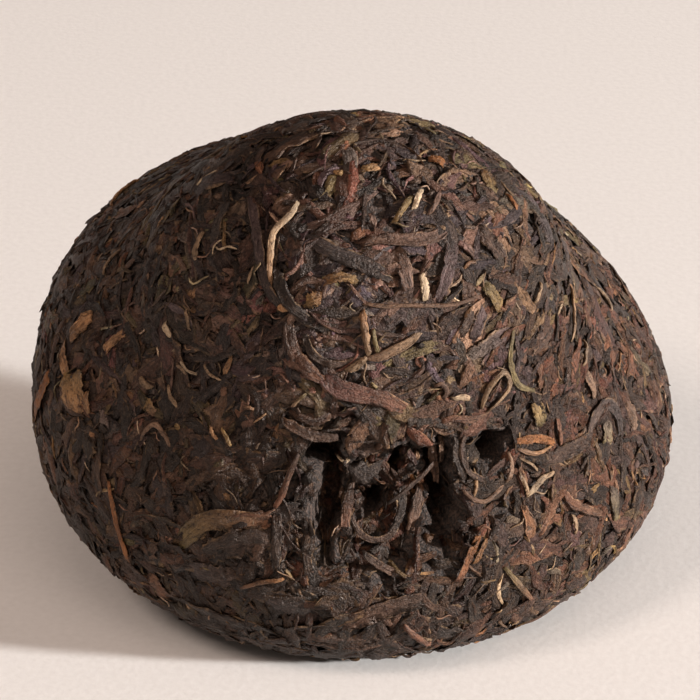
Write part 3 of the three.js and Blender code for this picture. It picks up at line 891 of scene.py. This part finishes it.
PLACED_LEAVES = [
    ("dark to red_brown", [(288, 322), (290, 340), (298, 358), (310, 372), (325, 383)], 2.5, 0.6, 0.27, 0),
    ("wine to red_brown", [(322, 376), (340, 389), (360, 394), (384, 400), (409, 413)], 3, 0.6, 0.27, 0),
    ("purple to black", [(251, 198), (255, 222), (259, 246), (263, 272), (270, 293), (281, 308)],
     1.6, 0.56, 0.37, 0.3),
    ("black", [(278, 270), (281, 288), (291, 305), (306, 319)], 2, 0.56, 0.37, 0.2),
    ("black to dark", [(305, 336), (312, 352), (326, 362), (347, 365)], 1.2, 0.42, 0.42, 0.2),
    ("slate to black", [(308, 241), (337, 254), (366, 267), (391, 278)], 2.3, 0.49, 0.2, 0.1),
    ("brown to rosy", [(395, 248), (403, 267), (409, 292)], 2, 0.35, 0.27, 0.1),
    ("brown to rosy", [(362, 244), (385, 240), (412, 241), (436, 237), (452, 224)], 1.8, 0.35, 0.2, 0.2),
    ("dark", [(476, 226), (488, 241), (503, 261)], 2.6, 0.35, 0.27, 0.1),
    ("red_brown to brown", [(441, 421), (455, 418), (470, 419), (486, 415)], 1.3, 0.42, 0.37, 0.2),
    ("brown to dark", [(283, 420), (300, 430), (318, 436), (338, 437)], 1.7, 0.42, 0.42, 0.3),
    ("ochre to flake", [(360, 170), (370, 169), (381, 167)], 1.5, 0.3, 0.22, 0.1),
    ("flake to ochre", [(333, 171), (338, 173), (343, 176)], 1, 0.3, 0.22, 0),
    ("rust", [(429, 159), (437, 162), (444, 165)], 1.7, 0.3, 0.3, 0),
    ("orange to olive", [(480, 167), (487, 179), (493, 193)], 2.3, 0.3, 0.22, 0.1),
    ("purple", [(453, 238), (449, 262), (444, 282), (437, 302)], 2, 0.56, 0.25, 0.3),
    ("wine to rosy", [(457, 241), (464, 247), (474, 256)], 1.2, 0.42, 0.32, 0.2),
    ("orange to ochre", [(322, 283), (339, 278), (358, 282)], 1.4, 0.3, 0.32, 0.2),
    ("ochre to orange", [(306, 304), (313, 301), (322, 298)], 2.2, 0.63, 0.32, 0),
    ("flake", [(279, 305), (282, 308), (286, 312)], 1.1, 0.42, 0.22, 0),
    ("olive to ochre", [(484, 286), (492, 297), (500, 311)], 1.9, 0.3, 0.32, 0.1),
    ("grey to purple", [(465, 357), (480, 350), (493, 340), (507, 333)], 2.6, 0.35, 0.32, 0.1),
    ("ochre to olive", [(534, 403), (537, 414), (540, 426)], 2.4, 0.3, 0.27, 0.1),
    ("olive to red_brown", [(180, 548), (192, 532), (207, 521), (232, 519), (258, 519), (276, 518)],
     3.1, 0.35, 0.32, 0.2),
    ("black to dark", [(206, 556), (228, 545), (255, 541), (280, 545)], 4.2, 0.42, 0.22, 0.1),
    ("ochre to flake", [(73, 372), (74, 384), (74, 397), (75, 411)], 7.2, 0.35, 0.32, 0.05),
    ("flake", [(66, 344), (66, 358), (69, 374)], 2.2, 0.35, 0.4, 0.1),
    ("flake", [(91, 412), (90, 401), (89, 390)], 1.6, 0.35, 0.5, 0),
    ("flake", [(73, 340), (82, 328), (92, 316)], 2.8, 0.35, 0.5, 0.1),
    ("rust", [(51, 374), (44, 395), (37, 418)], 2.4, 0.35, 0.4, 0.1),
    ("flake", [(104, 353), (114, 344), (126, 332)], 1.6, 0.3, 0.27, 0.1),
    ("ochre to light", [(146, 402), (151, 407), (156, 414)], 1.6, 0.35, 0.32, 0.1),
    ("dark to slate", [(588, 442), (590, 425), (597, 410), (606, 404), (614, 412), (618, 430),
           (614, 450)], 2, 0.5, 0.12, 0.15),
    ("grey to olive", [(604, 418), (605, 432), (603, 446)], 2.2, 0.35, 0.15, 0.1),
    ("dark", [(543, 461), (560, 453), (575, 446), (588, 436)], 2.2, 0.42, 0.32, 0.2),
    ("red_brown", [(556, 416), (557, 430), (559, 446)], 1.1, 0.42, 0.45, 0.1),
    ("grey to olive", [(610, 484), (612, 502), (614, 521)], 1.9, 0.35, 0.4, 0.1),
    ("red_brown to russet", [(562, 489), (570, 502), (586, 509), (603, 514)], 1.5, 0.35, 0.32, 0.2),
    ("light", [(583, 372), (588, 384), (594, 397)], 2, 0.35, 0.4, 0.1),
    ("brown to light", [(622, 402), (628, 415), (632, 430)], 3.2, 0.35, 0.35, 0.1),
    ("red_brown to rust", [(457, 580), (463, 567), (470, 552), (478, 534)], 1.4, 0.42, 0.37, 0.2),
    ("orange", [(487, 538), (480, 550), (474, 562)], 0.9, 0.35, 0.32, 0.1),
    ("rust", [(516, 441), (535, 438), (554, 442)], 1.3, 0.42, 0.42, 0.2),
    ("dark to red_brown", [(352, 484), (347, 505), (345, 525), (346, 552)], 1.5, 0.56, -2, 0.2),
    ("dark", [(351, 518), (360, 533), (374, 541), (390, 535), (400, 520)], 1, 0.5, -2.1, 0.3),
    ("dark to brown", [(420, 488), (417, 504), (413, 520), (411, 536)], 1.9, 0.5, -2.4, 0.1),
    ("black", [(403, 488), (402, 506), (397, 522), (388, 540)], 1.3, 0.56, -2.2, 0.2),
    ("brown", [(433, 438), (434, 452), (436, 468), (438, 484)], 1.3, 0.4, -2.8, 0.1),
    ("dark", [(340, 440), (358, 448), (376, 446), (394, 440)], 2.6, 0.56, -2, 0.1),
    ("black", [(352, 466), (366, 474), (380, 470)], 3, 0.56, -2.5, 0.1),
    ("black to brown", [(363, 553), (380, 565), (403, 577)], 1.2, 0.35, -0.6, 0.2),
    ("brown to dark", [(345, 626), (370, 613), (398, 603), (429, 595)], 2.8, 0.35, 0.32, 0.2),
    ("brown", [(278, 214), (286, 207), (296, 199)], 2.8, 0.42, 0.22, 0.2),
    ("dark", [(466, 432), (461, 447), (464, 464), (474, 476), (492, 480)], 1, 0.56, 0.12, 0.2),
    ("black", [(457, 438), (455, 452), (459, 468), (466, 480)], 1.2, 0.56, -0.08, 0.2),
    ("light", [(442, 436), (443, 450), (442, 463)], 0.9, 0.4, -2.3, 0),
    ("dark", [(459, 338), (466, 325), (474, 312)], 1.4, 0.4, 0.45, 0.1),
    ("purple", [(470, 342), (477, 326), (483, 309)], 1.5, 0.4, 0.45, 0.1),
    ("black", [(178, 604), (200, 612), (228, 622), (258, 632)], 4.8, 0.42, 0.02, 0.05),
    ("slate to black", [(262, 596), (280, 600), (298, 604), (314, 602)], 4.2, 0.42, 0.07, 0.05),
    ("dark to black", [(278, 512), (277, 530), (276, 548), (277, 570)], 1.7, 0.49, 0.27, 0.1),
    ("brown to dark", [(252, 560), (258, 552), (266, 540)], 1.8, 0.35, 0.27, 0.1),
    ("russet to red_brown", [(150, 574), (158, 584), (170, 598)], 2.6, 0.35, 0.07, 0.1),
    ("slate to dark", [(188, 566), (205, 571), (224, 576), (240, 575)], 3.4, 0.42, 0.12, 0.05),
    ("dark to brown", [(298, 636), (325, 640), (352, 642), (380, 640)], 3.4, 0.42, 0.02, 0.05),
    ("dark to slate", [(120, 560), (136, 574), (150, 588)], 3, 0.42, 0.02, 0.05),
]


def curve_through(points, count):
    """A smooth curve through points, as count points at even shares."""
    padded = np.concatenate([2 * points[:1] - points[1:2], points, 2 * points[-1:] - points[-2:-1]])
    at = np.linspace(0, len(points) - 1 - 1e-6, count)
    first = at.astype(int)
    share = (at - first)[:, None]
    a, b, c, d = (padded[first + step] for step in range(4))
    bent = 2 * b + (c - a) * share + (2 * a - 5 * b + 4 * c - d) * share**2
    return 0.5 * (bent + (3 * (b - c) + d - a) * share**3)


# Painted shade darkens leaves that lie deep; this lift keeps placed leaves out of it.
SHOWN = 5.0  # keeps placed leaves from the darkening of those that lie deep


def place_strands(name, material, pieces, seed, rings=16, sides=10):
    """Leaves of one kind on their routes in the photograph, each at its own lift over the smooth cake."""
    random = np.random.default_rng(seed)
    routes = [np.array(piece[1], float) for piece in pieces]
    lines = np.stack([curve_through(behind_pixels(route), rings) for route in routes])
    width, thickness, lift, curl = np.array([piece[2:] for piece in pieces], float).T
    normals = skin_under(lines, carved=False)[1]
    to_eye = unit((EYE - RIM_MIDDLE) @ TURN - lines)
    sideways = normals - np.sum(normals * to_eye, axis=-1, keepdims=True) * to_eye
    # Shifted back by what its lift moves it sideways in the picture, a leaf still covers its pixels.
    middles, normals = skin_under(lines - lift[:, None, None] * sideways, carved=False)
    count = len(pieces)
    ends = [piece[0].split(" to ") for piece in pieces]
    shape = {
        "width": width, "thickness": thickness, "lift": lift, "curl": curl,
        "blunt": random.uniform(0.12, 0.3, count), "uneven": np.full(count, 0.09),
        "ragged": np.full(count, 0.05), "twist": random.uniform(-20, 20, count),
        "roll": random.uniform(-6, 6, count), "ridge": 0.07 * width, "folds": random.uniform(3, 6, count),
        "phase": random.uniform(0, 2 * math.pi, count), "wobble": random.normal(size=count),
        "arch": np.full(count, 0.05), "dive": np.full(count, 0.35), "pitch": np.zeros(count),
        "slant": random.uniform(-0.6, 0.6, count), "shown": np.full(count, SHOWN),
        "tint": PLACED_TONE * np.array([COLOURS[end[0]] for end in ends]),
        "tip_tint": PLACED_TONE * np.array([COLOURS[end[-1]] for end in ends]),
    }
    make_strands(name, material, middles, normals, sides, shape, random)


# ---------------------------------------------------------------- the scene
make_camera()
make_floor()
bpy.context.scene.view_settings.view_transform = "Standard"
make_light("key_light", azimuth=75, elevation=10.5, distance=2.5, size=0.17, power=158, colour=KEY_COLOUR)
make_light("front_fill", azimuth=15, elevation=55, distance=2.2, size=1.4, power=11, colour=FILL_COLOUR)
make_light("left_fill", azimuth=-50, elevation=50, distance=2.2, size=0.6, power=14, colour=FILL_COLOUR)
make_world(WORLD_COLOUR, strength=0.15)

DARK_LEAF = leaf_material("dark_leaf", fineness=1.0, pale_edge=0.4, fibre=0.5, relief=0.55, roughness=0.43,
                          crumpling=1.35)
FLAT_LEAF = leaf_material("flat_leaf", fineness=0.8, pale_edge=0.6, fibre=0.35, relief=0.5, roughness=0.47,
                          crumpling=1.2)
PLACED_LEAF = leaf_material("placed_leaf", fineness=0.9, pale_edge=0.5, fibre=0.4, relief=0.42,
                            roughness=0.46, crumpling=1.1)
STALK = leaf_material("stalk", fineness=1.4, pale_edge=0.1, fibre=0.35, relief=0.25, roughness=0.5,
                      crumpling=0.8)

# How many parts of each colour a kind of leaf has.
DARK_PALETTE = {"black": 3, "slate": 2.4, "dark": 3.2, "brown": 4, "light": 1.8, "purple": 1.4, "wine": 0.4,
                "red_brown": 0.7, "russet": 0.9, "olive": 0.8, "grey": 0.5}
PALE_PALETTE = {"tan": 2.2, "ochre": 1.6, "olive": 3, "orange": 1.4, "red_brown": 2.4, "grey": 2,
                "flake": 0.8}
STALK_PALETTE = {"tan": 4, "cream": 1.2, "orange": 1.2, "ochre": 1}
FIBRE_PALETTE = {"tan": 3, "cream": 2, "light": 2}

make_core()
scatter_strands("broad_leaves", FLAT_LEAF, count=1750, seed=101, rings=8, sides=7, palette=DARK_PALETTE,
                length=(3.5, 10), width=(1.6, 3.9), thickness=(0.25, 0.42), lift=(-0.22, 0.04), twist=12,
                roll=6, ridge=0.12, uneven=0.24, spread=0.42)
scatter_strands("rolled_leaves", DARK_LEAF, count=1900, seed=102, rings=8, sides=7, palette=DARK_PALETTE,
                length=(4, 12), width=(1.0, 2.2), thickness=(0.35, 0.65), lift=(-0.3, 0.0), ridge=0.1,
                uneven=0.2)
scatter_strands("wiry_leaves", DARK_LEAF, count=1000, seed=103, rings=8, sides=6, palette=DARK_PALETTE,
                length=(3, 8), width=(0.4, 0.9), thickness=(0.3, 0.5), lift=(-0.15, 0.15), ridge=0.04)
scatter_strands("leaf_bits", DARK_LEAF, count=4000, seed=104, rings=4, sides=6, palette=DARK_PALETTE,
                length=(1, 3.6), width=(0.6, 2.2), thickness=(0.22, 0.4), lift=(-0.2, 0.08), scatter=90,
                spread=0.45, ridge=0.06, uneven=0.3)
scatter_strands("tan_stalks", STALK, count=380, seed=105, rings=8, sides=6, palette=STALK_PALETTE,
                length=(2, 6), width=(0.35, 0.75), thickness=(0.3, 0.5), lift=(-0.2, 0.1), ridge=0.03,
                share_of_painted_light=0.3)
scatter_strands("pale_flakes", FLAT_LEAF, count=700, seed=106, rings=5, sides=7, palette=PALE_PALETTE,
                length=(1, 4), width=(0.6, 1.8), thickness=(0.2, 0.35), lift=(-0.2, 0.08), scatter=80,
                ridge=0.05, share_of_painted_light=0.35)
scatter_strands("pale_fibres", STALK, count=600, seed=110, rings=7, sides=4, palette=FIBRE_PALETTE,
                length=(1.2, 4.5), width=(0.14, 0.34), thickness=(0.15, 0.3), lift=(0.0, 0.22), bend=0.6,
                wander=0.18, scatter=90, uneven=0.1, ridge=0.01, spread=0.35, share_of_painted_light=0.2)
scatter_strands("hollow_leaves", DARK_LEAF, count=520, seed=109, rings=5, sides=7, palette=DARK_PALETTE,
                length=(1.2, 3.4), width=(0.7, 1.6), thickness=(0.3, 0.5), lift=(-0.3, 0.05), scatter=25,
                in_hollows=True)
place_strands("placed_stalks", STALK, PLACED_STALKS, seed=107)
place_strands("placed_leaves", PLACED_LEAF, PLACED_LEAVES, seed=108)
